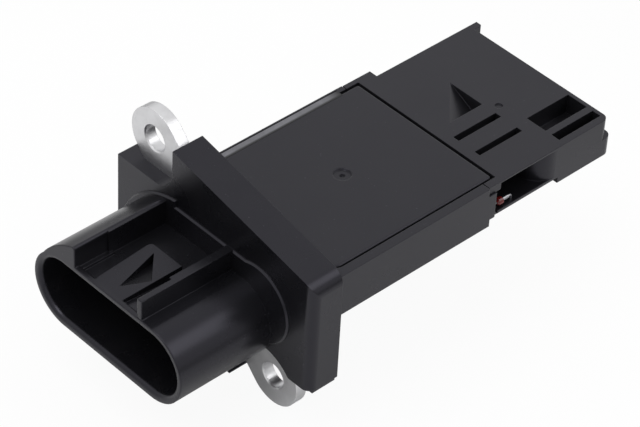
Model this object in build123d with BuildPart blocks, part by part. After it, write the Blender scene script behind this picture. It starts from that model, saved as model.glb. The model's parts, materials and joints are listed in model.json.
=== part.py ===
from build123d import *
from math import atan2, degrees, radians, tan
import os

os.makedirs("parts", exist_ok=True)

# Plug-in mass airflow sensor, millimetres.
# +X is the direction in which the blade goes into the air duct, from the
# connector to the tip. +Z is the side with the circuit cover. The origin lies
# on the flange's seating face, midway between the two screw holes.

# Screw ears, two pressed metal plates moulded into the flange
screw_y = 15.9
screw_z = 16.4
screw_hole_d = 5.0
ear_radius = 6.0
ear_t = 2.3
ear_setback = 2.8
ear_root = 10.5
ear_edge_break = 0.25

# Flange
flange_t = 6.7
flange_left = 22.3
flange_right = -27.6
flange_side_top = 10.5
flange_right_bottom = -10.5
flange_left_bottom = -13.9
flange_peak_y = 8.0
flange_peak_z = 20.0
flange_slope = 11.5
flange_corner_r = 3.0
flange_front_round = 1.8
notch_corner_r = 4.3
lower_bite_r = 8.85
root_rib_count = 4
root_rib_w = 0.9
root_rib_pitch = 1.45
root_rib_drop = 1.2
root_rib_gap = 0.6
root_rib_setback = 1.5

# Raised pad on the flange's front, round the connector
pad_h = 0.45
pad_chamfer = 0.3
pad_top = 8.75
pad_straight_left = 6.6
pad_right_r = 8.0
pad_right_y = -14.15
pad_right_z = 1.3
pad_left_r = 16.75
pad_left_y = 4.9
pad_left_z = -6.5

# Connector shroud
shroud_length = 20.4
shroud_w = 38.4
shroud_h = 15.3
shroud_y = 0.95
shroud_z = -3.1
shroud_wall = 1.5
shroud_lead_in = 0.9
socket_floor_t = 1.4

# Keying features on top of the shroud: a cheek, a thin rib and a tongue that rises as a ramp
cheek_r = 16.0
cheek_y = 4.25
cheek_z = -6.15
cheek_wall_y = 9.3
cheek_corner_r = 0.5
cheek_step = 0.35
cheek_step_x = 7.3
cheek_step_top = 8.75
ledge_w = 0.9
ledge_drop = 0.25
ledge_length = 7.0
rib_right = -8.0
rib_left = -6.3
rib_front_left = -6.9
rib_top = 8.75
rib_front_gap = 0.1
rib_step_x = 7.6
tongue_left = 5.1
tongue_front_right = -2.1
tongue_back_right = -2.9
tongue_length = 12.4
tongue_rise = 1.1
tongue_corner_r = 1.0
groove_front = 1.0
groove_depth = 0.8
arrow_front = (2.6, 0.8)
arrow_side = (7.3, -2.1)
arrow_back = (12.0, 2.8)
arrow_depth = 2.0

# Terminals
terminal_count = 5
terminal_pitch = 5.0
terminal_w = 2.3
terminal_t = 0.64
terminal_reach = 12.0
terminal_tip = 0.9
riser_x = -3.4
bond_pad_z = 6.3
bond_pad_y = -8.0
bond_pad_pitch = 4.0
bond_pad_end = 5.0

# Circuit tray, which is the root half of the blade
body_left = 10.3
body_right = -27.0
body_top = 11.7
tray_bottom = 2.95
tray_end = 38.0
tray_floor_t = 1.4
tray_side_end = 37.0
tray_toe_end = 35.8
tray_toe_h = 1.5
tray_end_wall = 2.3
tray_root_wall = 1.5
tray_nose_inset = 1.2
tray_jamb_r = 0.5
cover_ledge = 1.2

# Circuit cover
cover_t = 1.2
cover_gap = 0.45
cover_front = 0.6
cover_corner_r = 1.6
cover_left_rim = 1.1
cover_right_rim = 1.8
cover_back_r = 0.5
cover_edge_round = 0.35
gate_x = 18.4
gate_y = -7.7
gate_d = 3.2
gate_depth = 0.3
gate_pit_d = 0.9
gate_pit_depth = 0.7
bead_h = 0.35

# Blade base, the half that carries the bypass
blade_end = 67.0
blade_bottom = 3.25
sill_z = 4.5
sill_t = 0.6
sill_inset = 1.0
parting_z = 7.1
blade_tip_r = 1.6
lug_length = 0.4
lug_w = 1.4
lug_r = 0.4

# Bypass cover
bypass_end = 65.5
bypass_right = -26.7
bypass_left = 8.4
bypass_shoulder = 10.2
shoulder_end = 42.0
bypass_tip_r = 1.4
bypass_roof_t = 2.4
seam = 0.2
clip_front = 35.3
clip_drop = 1.75

# Air window and passage
window_end = 52.2
window_bell_r = 4.6
window_lip = 0.4
passage_exit_w = 7.0

# Features sunk in the bypass cover's top
slot_start = 40.3
slot_end = 50.9
slot_depth = 1.8
slot_1_y = -13.45
slot_1_w = 1.4
slot_2_y = -18.7
slot_2_w = 1.3
scoop_start = 42.7
scoop_end = 50.8
scoop_left = -1.4
scoop_right = -9.5
scoop_depth = 3.8
pocket_start = 54.1
pocket_end = 64.7
pocket_depth = 4.0
wide_pocket = (-17.4, -22.0)
narrow_pocket = (-23.4, -25.3)
dimple_x = 52.8
dimple_y = -11.7
dimple_d = 1.5
dimple_depth = 0.25

# Circuit inside the tray
spreader_t = 0.8
spreader_margin = 0.8
board_t = 0.64
board_inset = 0.4
chip_l = 7.0
chip_w = 8.0
chip_h = 1.1
regulator_l = 4.5
regulator_w = 4.0
regulator_h = 1.0
capacitor_count = 4
capacitor_l = 3.2
capacitor_w = 1.6
capacitor_h = 1.3
resistor_count = 4
resistor_l = 2.0
resistor_w = 1.25
resistor_h = 0.55
component_chamfer = 0.1
chip_x = 26.0
chip_y = -9.0
regulator_x = 12.0
regulator_y = -15.5
capacitor_y = 1.0
resistor_y = -20.0
part_row_x = 9.0
part_row_pitch = 6.0
strap_w = 1.2
strap_t = 0.2
strap_foot = 0.9

# Sensing elements in the passage
pin_d = 0.8
pin_reach = 5.2
pin_tail = 3.0
pin_gap = 3.6
hot_y = -6.0
cold_y = -13.5
element_d = 0.8
element_l = 2.0
lead_d = 0.3
air_bead_d = 1.5
air_bead_l = 1.6
air_bead_gap = 0.6
air_bead_break = 0.35
air_bead_y = -25.6
air_bead_z = 5.9
air_lead_d = 0.5
air_lead_reach = 2.1
air_lead_bend_r = 0.5
air_lead_root = 1.2
air_lead_foot = 0.5
air_weld_d = 0.8
air_weld_l = 1.3

# Places worked out from the sizes above
mouth_x = -flange_t - shroud_length
socket_floor_x = -flange_t - socket_floor_t
shroud_top = shroud_z + shroud_h / 2
groove_x = mouth_x + groove_front
groove_floor = shroud_top - groove_depth
tongue_end = groove_x + tongue_length
slope = tan(radians(flange_slope))
flange_right_top = flange_peak_z - slope * (flange_peak_y - flange_right)
flange_lower_peak = flange_left_bottom - slope * (flange_left + flange_peak_y)
pad_x = -flange_t - pad_h
screw_angle = degrees(atan2(screw_z, screw_y))
ear_front_x = -flange_t + ear_setback
tray_floor = tray_bottom + tray_floor_t
cover_seat = body_top - cover_t
bypass_start = tray_end + seam
cover_end = bypass_start - cover_gap
recess_left = body_left - cover_left_rim
recess_right = body_right + cover_right_rim
cover_left = recess_left - cover_gap
cover_right = recess_right + cover_gap
cavity_left = cover_left - cover_ledge
cavity_right = cover_right + cover_ledge
cavity_end = tray_end - tray_end_wall
passage_floor = sill_z + sill_t
passage_roof = body_top - bypass_roof_t
passage_side = window_end - window_bell_r
passage_exit = tray_end + passage_exit_w
spreader_top = tray_floor + spreader_t
board_top = spreader_top + board_t
spreader_start = bond_pad_end + spreader_margin
board_start = spreader_start + board_inset
board_end = cavity_end - spreader_margin - board_inset
bond_pad_top = bond_pad_z + terminal_t / 2
pin_z = board_top + pin_d / 2
element_x = tray_end + pin_reach - pin_d
clip_z = body_top - clip_drop
lug_right = bypass_left - lug_w
bead_start = tray_end + air_bead_gap
bead_end = bead_start + air_bead_l
passage_margin = tray_nose_inset


def finish(piece, name):
    piece.part.label = name
    export_step(piece.part, "parts/" + name + ".step")
    return piece.part


def box_between(x, y, z, mode=Mode.ADD):
    """A block between two values on each axis, made in the part that is open."""
    with BuildSketch(Plane.XY.offset(z[0])) as base:
        with Locations((x[0], y[0])):
            Rectangle(x[1] - x[0], y[1] - y[0], align=(Align.MIN, Align.MIN))
    extrude(base.sketch, amount=z[1] - z[0], mode=mode)


def sunk_triangle(front, side, deep, depth):
    """The space over a slanted floor: flush at front and side, sunk by depth under the corner deep."""
    bottom = deep - Vector(0, 0, depth)
    with BuildPart() as space:
        with BuildSketch(Plane.XY.offset(bottom.Z)):
            with BuildLine():
                Polyline((front.X, front.Y), (side.X, side.Y), (deep.X, deep.Y), close=True)
            make_face()
        extrude(amount=2 * depth)
        split(bisect_by=Plane(origin=front, z_dir=(side - front).cross(bottom - front)), keep=Keep.TOP)
    return space.part


# Plan of the recess for the circuit cover, open toward the bypass
with BuildSketch() as recess_plan:
    with Locations((cover_front - cover_gap, recess_right)):
        Rectangle(
            tray_end - cover_front + cover_gap,
            recess_left - recess_right,
            align=(Align.MIN, Align.MIN),
        )
    fillet(recess_plan.vertices().group_by(Axis.X)[0], cover_corner_r + cover_gap)

# Plan of the air passage: bell at the window, then a slow taper to the exit
with BuildSketch() as passage_plan:
    with BuildLine():
        Polyline(
            (window_end, bypass_right),
            (window_end, body_right - passage_margin),
            (tray_end, body_right - passage_margin),
            (tray_end, body_left + passage_margin),
            (passage_exit, body_left + passage_margin),
            (passage_exit, bypass_left),
            (passage_side, bypass_right + window_bell_r),
        )
        RadiusArc(
            (passage_side, bypass_right + window_bell_r),
            (window_end, bypass_right),
            -window_bell_r,
        )
    make_face()


# Plan of the lug at the blade's tip
with BuildSketch() as lug_plan:
    with Locations((bypass_end - lug_w, lug_right)):
        Rectangle(blade_end + lug_length - bypass_end + lug_w, lug_w, align=(Align.MIN, Align.MIN))
    lug_corner = lug_plan.vertices().sort_by_distance((blade_end + lug_length, lug_right))[0]
    fillet(lug_corner, lug_r)


# Screw ears: flat plates with a round end, rooted in the flange
def screw_ear(name, side):
    with BuildPart() as ear:
        with BuildSketch(Plane.YZ.offset(ear_front_x)):
            with Locations((side * screw_y, side * screw_z)):
                Circle(ear_radius)
            with Locations(Location((side * screw_y, side * screw_z), screw_angle + 90 * (1 + side))):
                Rectangle(ear_root, 2 * ear_radius, align=(Align.MIN, Align.CENTER))
            with Locations((side * screw_y, side * screw_z)):
                Circle(screw_hole_d / 2, mode=Mode.SUBTRACT)
        extrude(amount=ear_t)
        rims = ear.edges().filter_by(GeomType.CIRCLE).filter_by_position(Axis.X, ear_front_x, ear_front_x)
        chamfer(rims.sort_by(SortBy.RADIUS)[0], ear_edge_break)
    return finish(ear, name)


upper_mounting_ear = screw_ear("upper_mounting_ear", 1)
lower_mounting_ear = screw_ear("lower_mounting_ear", -1)


# Terminals: contact blade, slanted riser inside the flange, bond pad in the tray
def terminal_solid(name, place):
    blade_y = shroud_y + place * terminal_pitch
    bond_y = bond_pad_y + place * bond_pad_pitch
    tip_x = socket_floor_x - terminal_reach
    half = terminal_w / 2
    with BuildPart() as terminal:
        with BuildSketch(Plane.XY.offset(shroud_z)):
            with BuildLine():
                Polyline(
                    (riser_x + terminal_t / 2, blade_y - half),
                    (riser_x + terminal_t / 2, blade_y + half),
                    (tip_x + terminal_tip, blade_y + half),
                    (tip_x, blade_y + half - terminal_tip / 2),
                    (tip_x, blade_y - half + terminal_tip / 2),
                    (tip_x + terminal_tip, blade_y - half),
                    close=True,
                )
            make_face()
        extrude(amount=terminal_t / 2, both=True)
        with BuildSketch(Plane.YZ.offset(riser_x)):
            with BuildLine():
                Polyline(
                    (blade_y - half, shroud_z - terminal_t / 2),
                    (blade_y + half, shroud_z - terminal_t / 2),
                    (bond_y + half, bond_pad_z + terminal_t / 2),
                    (bond_y - half, bond_pad_z + terminal_t / 2),
                    close=True,
                )
            make_face()
        extrude(amount=terminal_t / 2, both=True)
        with BuildSketch(Plane.XY.offset(bond_pad_z)):
            with Locations((riser_x - terminal_t / 2, bond_y)):
                Rectangle(
                    bond_pad_end - riser_x + terminal_t / 2,
                    terminal_w,
                    align=(Align.MIN, Align.CENTER),
                )
        extrude(amount=terminal_t / 2, both=True)
    return finish(terminal, name)


terminals = []
for index in range(terminal_count):
    place = index - (terminal_count - 1) / 2
    terminals.append(terminal_solid("terminal_" + str(index + 1), place))

# Element pins: four straight posts from the tray through its end wall into the passage
element_pins = []
for index, (element_y, side) in enumerate([(hot_y, 1), (hot_y, -1), (cold_y, 1), (cold_y, -1)]):
    with BuildPart() as pin:
        with BuildSketch(Plane.YZ.offset(cavity_end - pin_tail)):
            with Locations((element_y + side * pin_gap / 2, pin_z)):
                Circle(pin_d / 2)
        extrude(amount=pin_tail + tray_end_wall + pin_reach)
    element_pins.append(finish(pin, "element_pin_" + str(index + 1)))

# Air temperature bead with its two leads, one in the end wall and one in the passage floor
with BuildPart() as air_temperature_bead:
    with BuildSketch(Plane.YZ.offset(bead_start)):
        with Locations((air_bead_y, air_bead_z)):
            Circle(air_bead_d / 2)
    extrude(amount=air_bead_l)
    chamfer(air_temperature_bead.edges().filter_by(GeomType.CIRCLE), air_bead_break)
finish(air_temperature_bead, "air_temperature_bead")

with BuildPart() as air_lead_short:
    with BuildSketch(Plane.YZ.offset(tray_end - air_lead_root)):
        with Locations((air_bead_y, air_bead_z)):
            Circle(air_lead_d / 2)
    extrude(amount=air_bead_gap + air_lead_root)
finish(air_lead_short, "air_lead_short")

loop_x = bead_end + air_lead_reach
with BuildPart() as air_lead_looped:
    with BuildLine():
        FilletPolyline(
            (bead_end, air_bead_y, air_bead_z),
            (loop_x, air_bead_y, air_bead_z),
            (loop_x, air_bead_y, passage_floor - air_lead_foot),
            radius=air_lead_bend_r,
        )
    with BuildSketch(Plane.YZ.offset(bead_end)):
        with Locations((air_bead_y, air_bead_z)):
            Circle(air_lead_d / 2)
    sweep()
    with BuildSketch(Plane.YZ.offset(bead_end)):
        with Locations((air_bead_y, air_bead_z)):
            Circle(air_weld_d / 2)
    extrude(amount=air_weld_l)
finish(air_lead_looped, "air_lead_looped")

# Tongue on the shroud, a ramp that rises from the mouth, with a slanted arrow sunk in it
tongue_top = Vector(tongue_length, 0, tongue_rise)
with BuildPart() as tongue:
    with BuildSketch(Plane.XY.offset(groove_floor)) as tongue_plan:
        with BuildLine():
            Polyline(
                (groove_x, tongue_front_right),
                (tongue_end, tongue_back_right),
                (tongue_end, tongue_left),
                (groove_x, tongue_left),
                close=True,
            )
        make_face()
        back_left = tongue_plan.vertices().sort_by_distance((tongue_end, tongue_left))[0]
        fillet(back_left, tongue_corner_r)
    extrude(amount=groove_depth + tongue_rise)
    ramp_plane = Plane(origin=(groove_x, 0, shroud_top), z_dir=Vector(0, -1, 0).cross(tongue_top))
    split(bisect_by=ramp_plane, keep=Keep.BOTTOM)
    arrow = []
    for along, y in (arrow_front, arrow_side, arrow_back):
        rise = tongue_rise * (along - groove_front) / tongue_length
        arrow.append(Vector(mouth_x + along, y, shroud_top + rise))
    add(sunk_triangle(*arrow, arrow_depth), mode=Mode.SUBTRACT)

# Room for the plug, with a rounded lead-in at the mouth
socket_w = shroud_w - 2 * shroud_wall
socket_h = shroud_h - 2 * shroud_wall
with BuildPart() as mouth_ring:
    with BuildSketch(Plane.YZ.offset(mouth_x)):
        with Locations((shroud_y, shroud_z)):
            SlotOverall(shroud_w, shroud_h)
            SlotOverall(socket_w, socket_h, mode=Mode.SUBTRACT)
    extrude(amount=shroud_wall)
    mouth_edges = mouth_ring.faces().sort_by(Axis.X)[0].inner_wires()[0].edges()
    fillet(mouth_edges, shroud_lead_in)
with BuildPart() as socket_space:
    with BuildSketch(Plane.YZ.offset(mouth_x)):
        with Locations((shroud_y, shroud_z)):
            SlotOverall(socket_w, socket_h)
    extrude(amount=socket_floor_x - mouth_x)
    with BuildSketch(Plane.YZ.offset(mouth_x)):
        with Locations((shroud_y, shroud_z)):
            SlotOverall(socket_w + shroud_lead_in + shroud_wall, socket_h + shroud_lead_in + shroud_wall)
    extrude(amount=shroud_wall)
    add(mouth_ring.part, mode=Mode.SUBTRACT)

# Housing, one moulding: flange, connector shroud, circuit tray and blade base
with BuildPart() as housing:
    # Flange plate with its stepped outline
    with BuildSketch(Plane.YZ.offset(-flange_t)) as flange_outline:
        with BuildLine():
            Polyline(
                (flange_left, flange_side_top),
                (flange_peak_y, flange_side_top),
                (flange_peak_y, flange_peak_z),
                (flange_right, flange_right_top),
                (flange_right, flange_right_bottom),
                (-screw_y, flange_right_bottom),
                (-flange_peak_y, flange_lower_peak),
                (flange_left, flange_left_bottom),
                close=True,
            )
        make_face()
        inner_corner = flange_outline.vertices().sort_by_distance((flange_peak_y, flange_side_top))[0]
        fillet(inner_corner, notch_corner_r)
        outer_corner = flange_outline.vertices().sort_by_distance((flange_right, flange_right_top))[0]
        fillet(outer_corner, flange_corner_r)
        with Locations((-screw_y, -screw_z)):
            Circle(lower_bite_r, mode=Mode.SUBTRACT)
    extrude(amount=flange_t)
    # The right front edge is rounded much more than the others
    with BuildSketch(Plane.XY.offset(flange_lower_peak - 1)) as flange_plan:
        with Locations((-flange_t, flange_right)):
            Rectangle(flange_t, flange_left - flange_right, align=(Align.MIN, Align.MIN))
        round_corner = flange_plan.vertices().sort_by_distance((-flange_t, flange_right))[0]
        fillet(round_corner, flange_front_round)
    extrude(amount=flange_peak_z - flange_lower_peak + 2, mode=Mode.INTERSECT)

    # Raised pad on the flange's front
    with BuildSketch(Plane.YZ.offset(-flange_t - pad_h)):
        with Locations((pad_left_y, pad_left_z)):
            Circle(pad_left_r)
        with Locations((pad_straight_left, pad_left_z)):
            Rectangle(pad_left_r * 2, pad_left_r * 2, align=(Align.MIN, Align.MIN), mode=Mode.INTERSECT)
        with Locations((pad_right_y, pad_left_z)):
            Rectangle(
                pad_straight_left - pad_right_y,
                pad_top - pad_left_z,
                align=(Align.MIN, Align.MIN),
            )
        with Locations((pad_right_y, pad_right_z)):
            Circle(pad_right_r)
    extrude(amount=pad_h)
    chamfer(housing.edges().filter_by_position(Axis.X, pad_x, pad_x), pad_chamfer)

    # Connector shroud with its cheek
    with BuildSketch(Plane.YZ.offset(mouth_x)) as shroud_outline:
        with Locations((cheek_y, cheek_z)):
            Circle(cheek_r)
        with Locations((cheek_wall_y, shroud_z)):
            Rectangle(cheek_r * 2, cheek_r * 2, align=(Align.MIN, Align.MIN), mode=Mode.INTERSECT)
        cheek_corner = shroud_outline.vertices().group_by(Axis.Y)[-1]
        fillet(cheek_corner, cheek_corner_r)
        with Locations((shroud_y, shroud_z)):
            SlotOverall(shroud_w, shroud_h)
    extrude(amount=shroud_length)

    # The cheek's inner wall steps inward on the way to the flange
    box_between(
        (mouth_x + cheek_step_x, -flange_t),
        (cheek_wall_y - cheek_step, cheek_wall_y + cheek_corner_r),
        (shroud_z, cheek_step_top),
    )

    # Thin rib beside the shroud's rounded right end, thinner at its front
    rib_step = mouth_x + rib_step_x
    box_between((mouth_x + rib_front_gap, -flange_t), (rib_right, rib_front_left), (shroud_z, rib_top))
    box_between((rib_step, -flange_t), (rib_right, rib_left), (shroud_z, rib_top))

    # Lowered floor between the rib and the cheek, with a ledge and the tongue on it
    wall_y = (cheek_wall_y - cheek_step, cheek_wall_y)
    box_between((groove_x, pad_x), (rib_left, wall_y[0]), (groove_floor, shroud_top), Mode.SUBTRACT)
    box_between((groove_x, mouth_x + cheek_step_x), wall_y, (groove_floor, shroud_top), Mode.SUBTRACT)
    box_between((groove_x, rib_step), (rib_front_left, rib_left), (groove_floor, shroud_top), Mode.SUBTRACT)
    ledge_x = (groove_x, groove_x + ledge_length)
    box_between(ledge_x, (cheek_wall_y - ledge_w, cheek_wall_y), (shroud_z, shroud_top - ledge_drop))
    add(tongue.part)

    # Socket, with the arrow's space cut again where it goes below the lowered floor
    add(sunk_triangle(*arrow, arrow_depth), mode=Mode.SUBTRACT)
    add(socket_space.part, mode=Mode.SUBTRACT)

    # Short stiffening ribs under the flange's right end
    for index in range(root_rib_count):
        rib_right = flange_right + root_rib_gap + index * root_rib_pitch
        box_between(
            (-flange_t + root_rib_setback, 0),
            (rib_right, rib_right + root_rib_w),
            (flange_right_bottom - root_rib_drop, flange_right_bottom),
        )

    # Circuit tray block with a stepped corner beside the window
    box_between((0, tray_end), (body_right, body_left), (tray_bottom, body_top))
    nose_y = (body_right, body_right + tray_nose_inset)
    box_between((tray_side_end, tray_end), nose_y, (tray_bottom, body_top), Mode.SUBTRACT)
    jamb = housing.edges().filter_by(Axis.Z).filter_by_position(Axis.X, tray_end, tray_end)
    fillet(jamb.sort_by(Axis.Y)[0], tray_jamb_r)
    toe_z = (tray_bottom, tray_bottom + tray_toe_h)
    box_between((tray_toe_end, tray_side_end), nose_y, toe_z, Mode.SUBTRACT)

    # Blade base with a rounded tip corner, and the lower half of the lug at its tip
    with BuildSketch(Plane.XY.offset(blade_bottom)):
        with Locations((tray_end, bypass_right)):
            Rectangle(blade_end - tray_end, bypass_left - bypass_right, align=(Align.MIN, Align.MIN))
        fillet(vertices().group_by(Axis.X)[-1].sort_by(Axis.Y)[:1], blade_tip_r)
    extrude(amount=parting_z - blade_bottom)
    with BuildSketch(Plane.XY.offset(blade_bottom)):
        add(lug_plan.sketch)
    extrude(amount=parting_z - blade_bottom)

    # Air passage, open at the window and at the other side, over an undercut sill
    with BuildSketch(Plane.XY.offset(passage_floor)):
        add(passage_plan.sketch)
    extrude(amount=parting_z - passage_floor, mode=Mode.SUBTRACT)
    sill_y = (bypass_right, bypass_right + sill_inset)
    box_between((tray_end, window_end + sill_inset), sill_y, (blade_bottom, sill_z), Mode.SUBTRACT)

    # Tray cavity, cover seat and the shelf under the terminals' bond pads
    cavity_y = (cavity_right, cavity_left)
    box_between((tray_root_wall, cavity_end), cavity_y, (tray_floor, body_top), Mode.SUBTRACT)
    with BuildSketch(Plane.XY.offset(cover_seat)):
        add(recess_plan.sketch)
    extrude(amount=cover_t, mode=Mode.SUBTRACT)
    shelf_half = (terminal_count - 1) / 2 * bond_pad_pitch + terminal_w
    box_between(
        (tray_root_wall, bond_pad_end),
        (bond_pad_y - shelf_half, bond_pad_y + shelf_half),
        (tray_floor, bond_pad_z - terminal_t / 2),
    )

    # Notches for the bypass cover's two clips
    clip_x = (clip_front - seam, tray_end)
    box_between(clip_x, (body_right, recess_right), (clip_z, body_top), Mode.SUBTRACT)
    box_between(clip_x, (recess_left, body_left), (clip_z, body_top), Mode.SUBTRACT)

    # Room for the metal that is moulded in
    add([upper_mounting_ear, lower_mounting_ear], mode=Mode.SUBTRACT)
    add(terminals, mode=Mode.SUBTRACT)
    add(element_pins, mode=Mode.SUBTRACT)
    add([air_lead_short.part, air_lead_looped.part], mode=Mode.SUBTRACT)
finish(housing, "housing")

# Circuit cover with its gate mark
with BuildPart() as circuit_cover:
    with BuildSketch(Plane.XY.offset(cover_seat)) as cover_plan:
        with Locations((cover_front, cover_right)):
            Rectangle(cover_end - cover_front, cover_left - cover_right, align=(Align.MIN, Align.MIN))
        fillet(cover_plan.vertices().group_by(Axis.X)[0], cover_corner_r)
        fillet(cover_plan.vertices().group_by(Axis.X)[-1], cover_back_r)
    extrude(amount=cover_t)
    top_rims = circuit_cover.edges().filter_by_position(Axis.Z, body_top, body_top)
    fillet(top_rims, cover_edge_round)
    for mark_d, mark_depth in ((gate_d, gate_depth), (gate_pit_d, gate_pit_depth)):
        with BuildSketch(Plane.XY.offset(body_top)):
            with Locations((gate_x, gate_y)):
                Circle(mark_d / 2)
        extrude(amount=-mark_depth, mode=Mode.SUBTRACT)
finish(circuit_cover, "circuit_cover")

# Seal bead at the bottom of the groove round the cover
with BuildPart() as cover_seal_bead:
    with BuildSketch(Plane.XY.offset(cover_seat)):
        add(recess_plan.sketch)
    extrude(amount=bead_h)
    add(circuit_cover.part, mode=Mode.SUBTRACT)
finish(cover_seal_bead, "cover_seal_bead")

# Space that the window takes from the bypass cover: the roof rises to a thin lip
with BuildPart() as window_space:
    with BuildSketch(Plane.YZ.offset(bypass_start)):
        with BuildLine():
            Polyline(
                (body_right - passage_margin, parting_z),
                (body_right - passage_margin, body_top - window_lip),
                (bypass_right, body_top - window_lip),
                (bypass_right + bypass_roof_t - window_lip, passage_roof),
                (body_left + passage_margin, passage_roof),
                (body_left + passage_margin, parting_z),
                close=True,
            )
        make_face()
    extrude(amount=blade_end - bypass_start)
    with BuildSketch(Plane.XY.offset(parting_z)):
        add(passage_plan.sketch)
    extrude(amount=body_top - parting_z, mode=Mode.INTERSECT)

# Bypass cover: lid of the air passage with clips, slots and pockets
with BuildPart() as bypass_cover:
    with BuildSketch(Plane.XY.offset(parting_z)):
        with Locations((bypass_start, bypass_right)):
            Rectangle(
                bypass_end - bypass_start,
                bypass_left - bypass_right,
                align=(Align.MIN, Align.MIN),
            )
        fillet(vertices().group_by(Axis.X)[-1].sort_by(Axis.Y)[:1], bypass_tip_r)
    extrude(amount=body_top - parting_z)
    with BuildSketch(Plane.XY.offset(parting_z)):
        add(lug_plan.sketch)
    extrude(amount=body_top - parting_z)
    add(window_space.part, mode=Mode.SUBTRACT)

    # Clips over the tray's corners; the left one runs on as a shoulder
    box_between((clip_front, bypass_start), (bypass_right, recess_right), (clip_z, body_top))
    box_between((clip_front, bypass_start), (recess_left, bypass_shoulder), (clip_z, body_top))
    box_between((bypass_start, shoulder_end), (bypass_left, bypass_shoulder), (clip_z, body_top))

    # Two narrow slots
    slot_x = (slot_start, slot_end)
    for slot_y, slot_w in ((slot_1_y, slot_1_w), (slot_2_y, slot_2_w)):
        slot_sides = (slot_y - slot_w / 2, slot_y + slot_w / 2)
        box_between(slot_x, slot_sides, (body_top - slot_depth, body_top), Mode.SUBTRACT)

    # Two rectangular pockets toward the tip
    for pocket_y in (wide_pocket, narrow_pocket):
        pocket_sides = (pocket_y[1], pocket_y[0])
        box_between(
            (pocket_start, pocket_end),
            pocket_sides,
            (body_top - pocket_depth, body_top),
            Mode.SUBTRACT,
        )

    # Scoop that goes down toward its corner at the tip and the right
    flush_back = Vector(scoop_end, scoop_left, body_top)
    flush_front = Vector(scoop_start, scoop_right, body_top)
    deep_corner = Vector(scoop_end, scoop_right, body_top)
    add(sunk_triangle(flush_back, flush_front, deep_corner, scoop_depth), mode=Mode.SUBTRACT)

    # Small round gate mark
    with BuildSketch(Plane.XY.offset(body_top)):
        with Locations((dimple_x, dimple_y)):
            Circle(dimple_d / 2)
    extrude(amount=-dimple_depth, mode=Mode.SUBTRACT)
finish(bypass_cover, "bypass_cover")

# Heat spreader on the tray floor and the ceramic board on it
with BuildPart() as heat_spreader:
    box_between(
        (spreader_start, cavity_end - spreader_margin),
        (cavity_right + spreader_margin, cavity_left - spreader_margin),
        (tray_floor, spreader_top),
    )
finish(heat_spreader, "heat_spreader")

with BuildPart() as circuit_board:
    board_edge = spreader_margin + board_inset
    box_between(
        (board_start, board_end),
        (cavity_right + board_edge, cavity_left - board_edge),
        (spreader_top, board_top),
    )
finish(circuit_board, "circuit_board")


# Parts on the board
def board_part(name, x, y, length, width, height):
    with BuildPart() as component:
        with BuildSketch(Plane.XY.offset(board_top)):
            with Locations((x, y)):
                Rectangle(length, width)
        extrude(amount=height)
        top_rims = component.edges().filter_by_position(Axis.Z, board_top + height, board_top + height)
        chamfer(top_rims, component_chamfer)
    return finish(component, name)


board_part("control_chip", chip_x, chip_y, chip_l, chip_w, chip_h)
board_part("regulator_chip", regulator_x, regulator_y, regulator_l, regulator_w, regulator_h)
for index in range(capacitor_count):
    row_x = part_row_x + index * part_row_pitch
    name = "capacitor_" + str(index + 1)
    board_part(name, row_x, capacitor_y, capacitor_l, capacitor_w, capacitor_h)
for index in range(resistor_count):
    row_x = part_row_x + index * part_row_pitch
    name = "resistor_" + str(index + 1)
    board_part(name, row_x, resistor_y, resistor_l, resistor_w, resistor_h)

# Straps from the terminals' bond pads down to the board
for index in range(terminal_count):
    strap_y = bond_pad_y + (index - (terminal_count - 1) / 2) * bond_pad_pitch
    with BuildPart() as strap:
        with BuildSketch(Plane.XZ.offset(-strap_y)):
            with BuildLine():
                Polyline(
                    (bond_pad_end - strap_foot, bond_pad_top),
                    (bond_pad_end - strap_foot, bond_pad_top + strap_t),
                    (bond_pad_end + strap_t, bond_pad_top + strap_t),
                    (board_start + strap_t, board_top + strap_t),
                    (board_start + strap_foot, board_top + strap_t),
                    (board_start + strap_foot, board_top),
                    (board_start, board_top),
                    (bond_pad_end, bond_pad_top),
                    close=True,
                )
            make_face()
        extrude(amount=strap_w / 2, both=True)
    finish(strap, "bond_strap_" + str(index + 1))


# Measuring elements, each a coated bead on a wire between two pins
def sensing_element(name, element_y):
    with BuildPart() as element:
        with BuildSketch(Plane.XY.offset(pin_z)):
            with Locations((element_x, element_y)):
                Rectangle(lead_d / 2, pin_gap, align=(Align.MIN, Align.CENTER))
                Rectangle(element_d / 2, element_l, align=(Align.MIN, Align.CENTER))
        revolve(axis=Axis((element_x, element_y, pin_z), (0, 1, 0)))
        add(element_pins, mode=Mode.SUBTRACT)
    return finish(element, name)


sensing_element("hot_element", hot_y)
sensing_element("cold_element", cold_y)
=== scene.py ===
import json
from math import pi, radians

import bpy
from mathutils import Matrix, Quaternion, Vector


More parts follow.
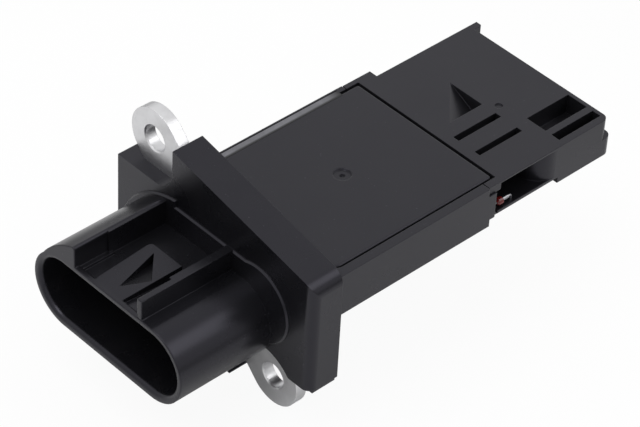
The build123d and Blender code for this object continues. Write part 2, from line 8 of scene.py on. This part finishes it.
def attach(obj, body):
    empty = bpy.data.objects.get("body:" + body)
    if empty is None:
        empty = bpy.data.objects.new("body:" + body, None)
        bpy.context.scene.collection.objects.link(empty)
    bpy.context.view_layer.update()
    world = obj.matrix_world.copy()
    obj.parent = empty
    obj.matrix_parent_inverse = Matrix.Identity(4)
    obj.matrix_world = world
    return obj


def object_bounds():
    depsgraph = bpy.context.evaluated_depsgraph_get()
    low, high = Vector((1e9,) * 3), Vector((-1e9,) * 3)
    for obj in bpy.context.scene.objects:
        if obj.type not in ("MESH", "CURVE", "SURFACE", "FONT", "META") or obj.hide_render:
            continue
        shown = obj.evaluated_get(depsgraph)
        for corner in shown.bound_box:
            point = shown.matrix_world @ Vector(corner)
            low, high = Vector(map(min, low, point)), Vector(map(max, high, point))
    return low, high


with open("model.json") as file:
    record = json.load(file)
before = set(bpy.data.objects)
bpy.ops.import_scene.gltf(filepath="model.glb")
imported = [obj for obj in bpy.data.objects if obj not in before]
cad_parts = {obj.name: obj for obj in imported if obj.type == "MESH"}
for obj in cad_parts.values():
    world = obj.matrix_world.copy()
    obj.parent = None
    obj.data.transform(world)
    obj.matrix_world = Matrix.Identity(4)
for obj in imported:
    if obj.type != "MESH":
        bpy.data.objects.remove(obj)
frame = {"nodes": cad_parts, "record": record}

cad_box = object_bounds()
MM = 0.001

# Camera, fitted to the straight edges in the photograph (metres, degrees, lens and sensor in mm)
CAMERA_PLACE = (-0.25977, -0.28095, 0.33488)
CAMERA_LOOK = (0.5382, 0.5381, -0.6487)
CAMERA_ROLL = 3.29
CAMERA_LENS = 165.6
SENSOR_WIDTH = 36.0

# Light: a white tent, greyer toward the horizon, and two softboxes,
# each (place in metres, side in metres, radiance). The tent is at its full light above TENT_FULL,
# the height of a direction of length 1.
TENT_LIGHT = 0.95
TENT_HORIZON = 0.8
TENT_FULL = 0.5
KEY_BOX = ((-0.35, 0.05, 0.93), 0.6, 3.0)
GLOW_BOX = ((0.538, -0.50, 0.68), 0.5, 1.5)

# Floor: its colour falls from FLOOR_WHITE to FLOOR_FAR between the two reaches, in metres.
# To the camera it is plain white by the share FLOOR_VEIL near the part, and wholly so far out.
FLOOR_GAP = 0.5 * MM
FLOOR_SIZE = 6.0
FLOOR_WHITE = 0.74
FLOOR_FAR = 0.25
FLOOR_NEAR_REACH = 0.10
FLOOR_FAR_REACH = 0.22
FLOOR_VEIL = 0.93

# Black plastic: values fitted by trial to the photograph's tones, mostly reflection of the tent
PLASTIC_IOR = 1.42
PLASTIC_TINT = (0.86, 0.84, 1.0, 1.0)
PLASTIC_BLACK = (0.004, 0.004, 0.005, 1.0)
PLASTIC_BLACK_LIGHT = (0.006, 0.006, 0.007, 1.0)
BYPASS_BLACK = (0.005, 0.005, 0.006, 1.0)
BYPASS_BLACK_LIGHT = (0.008, 0.008, 0.009, 1.0)
DUST = (0.06, 0.06, 0.07, 1.0)
GRAIN_DEPTH = 0.02 * MM
GRAIN_SCALE = 5200.0

# Rounding of edges in the shading: radius, and the zones in which it differs
EDGE_ROUND = 0.2 * MM
COVER_ROUND = 0.5 * MM
MOUTH_ROUND = 0.45 * MM
EAR_ROUND = 0.12 * MM
MOUTH_X = -27.1 * MM
MOUTH_REACH = 1.0 * MM
PARTING_Z = 7.1 * MM
PARTING_REACH = 0.35 * MM
PARTING_START_X = 36 * MM
PARTING_FULL_X = 37 * MM
FLANGE_X = -6.9 * MM
FLANGE_REACH = 0.5 * MM
FLANGE_FADE = 0.2 * MM
FLANGE_KEEP = 0.2

# Thin flat strip that shows the light line along the cover's left edge, dark at its outer side.
# Its lightness is a painted highlight: a light colour matched to the photograph, in place of a
# reflection off a slope.
STRIP_X = (0.7 * MM, 33.5 * MM)
STRIP_Y = (8.30 * MM, 9.95 * MM)
STRIP_Z = (11.68 * MM, 11.73 * MM)
STRIP_LINE_Y = 9.77 * MM
STRIP_LINE_FADE = 0.03 * MM
STRIP_SIDE_FADE = (0.2 * MM, 0.6 * MM)
STRIP_END_FADE = 3 * MM
# Painted highlight colours of the strip, dim and bright, mixed by noise
STRIP_HIGHLIGHT_DIM = (0.095, 0.095, 0.105, 1.0)
STRIP_HIGHLIGHT_BRIGHT = (0.135, 0.135, 0.15, 1.0)
STRIP_LINE_BLACK = (0.001, 0.001, 0.001, 1.0)


def make_camera():
    data = bpy.data.cameras.new("photo_camera")
    data.sensor_width = SENSOR_WIDTH
    data.lens = CAMERA_LENS
    camera = bpy.data.objects.new("photo_camera", data)
    camera.location = CAMERA_PLACE
    camera.rotation_mode = "QUATERNION"
    aim = Vector(CAMERA_LOOK).to_track_quat("-Z", "Y")
    camera.rotation_quaternion = aim @ Quaternion((0, 0, 1), radians(CAMERA_ROLL))
    bpy.context.scene.collection.objects.link(camera)
    bpy.context.scene.camera = camera


class Nodes:
    """Short calls for building a material's node tree."""

    def __init__(self, tree):
        self.tree = tree
        tree.nodes.clear()

    def add(self, kind, inputs=None, **settings):
        node = self.tree.nodes.new(kind)
        for name, value in settings.items():
            setattr(node, name, value)
        for name, value in (inputs or {}).items():
            self.put(node.inputs[name], value)
        return node

    def put(self, socket, value):
        if isinstance(value, bpy.types.NodeSocket):
            self.tree.links.new(value, socket)
        else:
            socket.default_value = value

    def math(self, operation, first, second=None):
        node = self.add("ShaderNodeMath", operation=operation)
        self.put(node.inputs[0], first)
        if second is not None:
            self.put(node.inputs[1], second)
        return node.outputs[0]

    def axes(self):
        """X, Y and Z in the object's own space."""
        place = self.add("ShaderNodeTexCoord").outputs["Object"]
        return self.add("ShaderNodeSeparateXYZ", {"Vector": place}).outputs


def new_material(name):
    material = bpy.data.materials.new(name)
    material.use_nodes = True
    return material, Nodes(material.node_tree)


def noise(n, scale, detail=3.0, rough=0.55, distort=0.0):
    """Noise in the object's own space, scale in features per metre."""
    place = n.add("ShaderNodeTexCoord").outputs["Object"]
    settings = {"Vector": place, "Scale": scale, "Detail": detail}
    settings.update({"Roughness": rough, "Distortion": distort})
    return n.add("ShaderNodeTexNoise", settings).outputs["Fac"]


def spread(n, value, low, high, start=0.3, end=0.7):
    """Maps start..end to low..high and holds the ends. The defaults suit a noise texture."""
    settings = {"Value": value, "From Min": start, "From Max": end}
    settings.update({"To Min": low, "To Max": high})
    return n.add("ShaderNodeMapRange", settings).outputs["Result"]


def blend(n, factor, first, second):
    """Mix of two colours. The Mix node's colour sockets are the inputs 6 and 7 and the output 2."""
    node = n.add("ShaderNodeMix", data_type="RGBA")
    n.put(node.inputs["Factor"], factor)
    n.put(node.inputs[6], first)
    n.put(node.inputs[7], second)
    return node.outputs[2]


def bump(n, height, strength, depth, edge=None):
    """Bump over the surface, with its edges rounded in the shading where a radius is given."""
    settings = {"Height": height, "Strength": strength, "Distance": depth}
    if edge is not None:
        settings["Normal"] = n.add("ShaderNodeBevel", {"Radius": edge}, samples=6).outputs["Normal"]
    return n.add("ShaderNodeBump", settings).outputs["Normal"]


def edge_radius(n):
    """Radius by place: wide at the mouth, little on the flange's front,
    none along the blade's parting line."""
    x, height = n.axes()["X"], n.axes()["Z"]
    mouth_end = MOUTH_X + MOUTH_REACH
    mouth = spread(n, x, MOUTH_ROUND, EDGE_ROUND, mouth_end, mouth_end + MOUTH_REACH)
    from_parting = n.math("ABSOLUTE", n.math("SUBTRACT", height, PARTING_Z))
    seam = spread(n, from_parting, 0.0, 1.0, PARTING_REACH, 2 * PARTING_REACH)
    blade = spread(n, x, 0.0, 1.0, PARTING_START_X, PARTING_FULL_X)
    keep = n.math("MAXIMUM", n.math("SUBTRACT", 1.0, blade), seam)
    from_flange = n.math("ABSOLUTE", n.math("SUBTRACT", x, FLANGE_X))
    flange = spread(n, from_flange, FLANGE_KEEP, 1.0, FLANGE_REACH, FLANGE_REACH + FLANGE_FADE)
    return n.math("MULTIPLY", mouth, n.math("MULTIPLY", keep, flange))


def surface(n, **inputs):
    shader = n.add("ShaderNodeBsdfPrincipled")
    for name, value in inputs.items():
        n.put(shader.inputs[name.replace("_", " ")], value)
    out = n.add("ShaderNodeOutputMaterial")
    n.tree.links.new(shader.outputs["BSDF"], out.inputs["Surface"])


def black_plastic(name, dark, light, smooth, rough, grain, edge=None):
    """Moulded black plastic: fine grain, faint flow marks, a little dust."""
    material, n = new_material(name)
    flow = noise(n, 60.0, 4.0, 0.6, 0.4)
    speck = spread(n, noise(n, 2600.0, 1.0), 0.0, 0.6, 0.76, 0.80)
    body = blend(n, spread(n, flow, 0.0, 1.0), dark, light)
    radius = edge_radius(n) if edge is None else edge
    surface(
        n,
        Base_Color=blend(n, speck, body, DUST),
        Roughness=spread(n, flow, smooth, rough),
        IOR=PLASTIC_IOR,
        Specular_Tint=PLASTIC_TINT,
        Normal=bump(n, noise(n, GRAIN_SCALE, 2.0), grain, GRAIN_DEPTH, radius),
    )
    return material


def ear_steel():
    """Plated sheet steel with a faint rolled grain."""
    material, n = new_material("ear_steel")
    place = n.add("ShaderNodeTexCoord").outputs["Object"]
    narrow = {"Vector": place, "Scale": (1.0, 6.0, 1.0)}
    stretched = n.add("ShaderNodeMapping", narrow).outputs["Vector"]
    rolled = {"Vector": stretched, "Scale": 900.0, "Detail": 4.0}
    grain = n.add("ShaderNodeTexNoise", rolled).outputs["Fac"]
    cloud = spread(n, noise(n, 220.0), 0.0, 1.0)
    surface(
        n,
        Base_Color=blend(n, cloud, (0.60, 0.60, 0.61, 1.0), (0.72, 0.72, 0.735, 1.0)),
        Metallic=1.0,
        Roughness=spread(n, grain, 0.28, 0.42),
        Normal=bump(n, grain, 0.25, 0.03 * MM, EAR_ROUND),
    )
    return material


def bright_metal(name, colour, rough):
    """Small drawn or stamped metal parts."""
    material, n = new_material(name)
    cloud = noise(n, 1500.0)
    darker = tuple(c * 0.8 for c in colour[:3]) + (1.0,)
    surface(
        n,
        Base_Color=blend(n, spread(n, cloud, 0.0, 1.0), darker, colour),
        Metallic=1.0,
        Roughness=spread(n, cloud, rough, rough + 0.12),
        Normal=bump(n, cloud, 0.2, 0.02 * MM),
    )
    return material


def dull_solid(name, colour, rough, scale, contrast=0.75):
    """Ceramic, epoxy and sealant: one colour with fine mottling."""
    material, n = new_material(name)
    cloud = noise(n, scale, 4.0)
    darker = tuple(c * contrast for c in colour[:3]) + (1.0,)
    surface(
        n,
        Base_Color=blend(n, spread(n, cloud, 0.0, 1.0), darker, colour),
        Roughness=spread(n, cloud, rough, rough + 0.1),
        Normal=bump(n, cloud, 0.3, 0.03 * MM),
    )
    return material


def bead_coating():
    """Dark red glossy coating with faint darker clouds."""
    material, n = new_material("bead_coating")
    cloud = noise(n, 900.0, 2.0)
    clouds = spread(n, cloud, 0.0, 1.0)
    surface(
        n,
        Base_Color=blend(n, clouds, (0.08, 0.004, 0.004, 1.0), (0.14, 0.007, 0.007, 1.0)),
        Roughness=spread(n, cloud, 0.12, 0.22),
        Coat_Weight=0.2,
        Coat_Roughness=0.08,
        Normal=bump(n, cloud, 0.15, 0.05 * MM),
    )
    return material


def make_materials():
    return {
        "housing_plastic": black_plastic(
            "housing_plastic", PLASTIC_BLACK, PLASTIC_BLACK_LIGHT, 0.24, 0.32, 0.2
        ),
        "cover_plastic": black_plastic(
            "cover_plastic", PLASTIC_BLACK, PLASTIC_BLACK_LIGHT, 0.28, 0.36, 0.3, COVER_ROUND
        ),
        "bypass_plastic": black_plastic(
            "bypass_plastic", BYPASS_BLACK, BYPASS_BLACK_LIGHT, 0.28, 0.36, 0.3
        ),
        "ear_metal": ear_steel(),
        "sealant": dull_solid("sealant", (0.01, 0.01, 0.011, 1.0), 0.45, 2500.0),
        "spreader_metal": bright_metal("spreader_metal", (0.70, 0.71, 0.73, 1.0), 0.3),
        "board_ceramic": dull_solid("board_ceramic", (0.80, 0.79, 0.74, 1.0), 0.5, 1200.0, 0.92),
        "chip_epoxy": dull_solid("chip_epoxy", (0.02, 0.02, 0.02, 1.0), 0.5, 3000.0),
        "capacitor_body": dull_solid("capacitor_body", (0.45, 0.32, 0.20, 1.0), 0.4, 2500.0),
        "resistor_body": dull_solid("resistor_body", (0.05, 0.05, 0.06, 1.0), 0.3, 2500.0),
        "strap_metal": bright_metal("strap_metal", (0.80, 0.80, 0.80, 1.0), 0.2),
        "terminal_metal": bright_metal("terminal_metal", (0.72, 0.68, 0.58, 1.0), 0.22),
        "pin_metal": bright_metal("pin_metal", (0.66, 0.65, 0.62, 1.0), 0.25),
        "element_glass": dull_solid("element_glass", (0.62, 0.60, 0.55, 1.0), 0.15, 2000.0, 0.9),
        "bead_coating": bead_coating(),
        "lead_metal": bright_metal("lead_metal", (0.40, 0.40, 0.42, 1.0), 0.3),
    }


def dress_nodes():
    materials = make_materials()
    for row in frame["record"]["subparts"]:
        mesh = frame["nodes"][row["node"]].data
        mesh.materials.clear()
        mesh.materials.append(materials[row["material_slot"]])


def make_highlight_strip():
    """Light line along the cover's left edge, a painted highlight in its colour. The solids have no
    such strip.
    """
    mesh = bpy.data.meshes.new("cover_highlight_strip")
    corners = [(x, y, z) for z in STRIP_Z for y in STRIP_Y for x in STRIP_X]
    faces = [(0, 2, 3, 1), (4, 5, 7, 6), (0, 1, 5, 4), (2, 6, 7, 3), (0, 4, 6, 2), (1, 3, 7, 5)]
    mesh.from_pydata(corners, [], faces)
    material, n = new_material("cover_highlight_strip")
    x, y = n.axes()["X"], n.axes()["Y"]
    line = spread(n, y, 0.0, 1.0, STRIP_LINE_Y, STRIP_LINE_Y + STRIP_LINE_FADE)
    side = spread(n, y, 0.0, 1.0, STRIP_Y[0] + STRIP_SIDE_FADE[0], STRIP_Y[0] + STRIP_SIDE_FADE[1])
    end = spread(n, x, 1.0, 0.0, STRIP_X[1] - STRIP_END_FADE, STRIP_X[1])
    # Painted highlight: a light colour stands in for the bevel's reflection, faded in at the inner
    # side and out at the far end
    pale = blend(n, spread(n, noise(n, 400.0), 0.0, 1.0), STRIP_HIGHLIGHT_DIM, STRIP_HIGHLIGHT_BRIGHT)
    faded = blend(n, n.math("MULTIPLY", side, end), BYPASS_BLACK, pale)
    surface(
        n,
        Base_Color=blend(n, line, faded, STRIP_LINE_BLACK),
        Roughness=0.35,
        IOR=PLASTIC_IOR,
        Specular_IOR_Level=spread(n, line, 0.5, 0.0, 0.0, 1.0),
        Normal=bump(n, noise(n, GRAIN_SCALE, 2.0), 0.3, GRAIN_DEPTH),
    )
    mesh.materials.append(material)
    strip = bpy.data.objects.new("cover_highlight_strip", mesh)
    bpy.context.scene.collection.objects.link(strip)
    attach(strip, "root")


def make_floor():
    """Pale floor that keeps the part's shadow and is near white to the camera."""
    level = cad_box[0].z - FLOOR_GAP
    half = FLOOR_SIZE / 2
    material, n = new_material("floor_white")
    place = n.add("ShaderNodeTexCoord").outputs["Object"]
    reach = n.add("ShaderNodeVectorMath", {"Vector": place}, operation="LENGTH").outputs["Value"]
    grey = spread(n, reach, FLOOR_WHITE, FLOOR_FAR, FLOOR_NEAR_REACH, FLOOR_FAR_REACH)
    colour = n.add("ShaderNodeCombineColor", {"Red": grey, "Green": grey, "Blue": grey}).outputs[0]
    pale = n.add("ShaderNodeBsdfDiffuse", {"Color": colour})
    white = n.add("ShaderNodeEmission", {"Color": (1.0, 1.0, 1.0, 1.0), "Strength": 1.0})
    to_camera = n.add("ShaderNodeLightPath").outputs["Is Camera Ray"]
    veil = spread(n, reach, FLOOR_VEIL, 1.0, FLOOR_NEAR_REACH, FLOOR_FAR_REACH)
    mix = n.add("ShaderNodeMixShader", {"Fac": n.math("MULTIPLY", to_camera, veil)})
    n.tree.links.new(pale.outputs[0], mix.inputs[1])
    n.tree.links.new(white.outputs[0], mix.inputs[2])
    out = n.add("ShaderNodeOutputMaterial")
    n.tree.links.new(mix.outputs[0], out.inputs["Surface"])
    mesh = bpy.data.meshes.new("floor")
    around = ((-half, -half), (half, -half), (half, half), (-half, half))
    corners = [(x, y, level) for x, y in around]
    mesh.from_pydata(corners, [], [(0, 1, 2, 3)])
    mesh.materials.append(material)
    floor = bpy.data.objects.new("floor", mesh)
    bpy.context.scene.collection.objects.link(floor)


def make_light():
    """White tent all round, greyer toward the horizon and below it."""
    world = bpy.data.worlds.new("tent")
    bpy.context.scene.world = world
    world.use_nodes = True
    n = Nodes(world.node_tree)
    direction = n.add("ShaderNodeTexCoord").outputs["Generated"]
    height = n.add("ShaderNodeSeparateXYZ", {"Vector": direction}).outputs["Z"]
    level = spread(n, height, TENT_HORIZON, TENT_LIGHT, 0.0, TENT_FULL)
    tent = n.add("ShaderNodeBackground", {"Color": (1.0, 1.0, 1.0, 1.0), "Strength": level})
    out = n.add("ShaderNodeOutputWorld")
    n.tree.links.new(tent.outputs[0], out.inputs["Surface"])


def make_softbox(name, place, side, radiance):
    """Square lamp that faces the part."""
    data = bpy.data.lights.new(name, "AREA")
    data.shape = "SQUARE"
    data.size = side
    data.energy = radiance * pi * side * side
    lamp = bpy.data.objects.new(name, data)
    lamp.location = place
    lamp.rotation_mode = "QUATERNION"
    lamp.rotation_quaternion = (-Vector(place)).to_track_quat("-Z", "Y")
    bpy.context.scene.collection.objects.link(lamp)


make_camera()
make_light()
make_softbox("key_box", *KEY_BOX)
make_softbox("glow_box", *GLOW_BOX)
make_floor()
dress_nodes()
make_highlight_strip()
bpy.context.scene.view_settings.view_transform = "Standard"
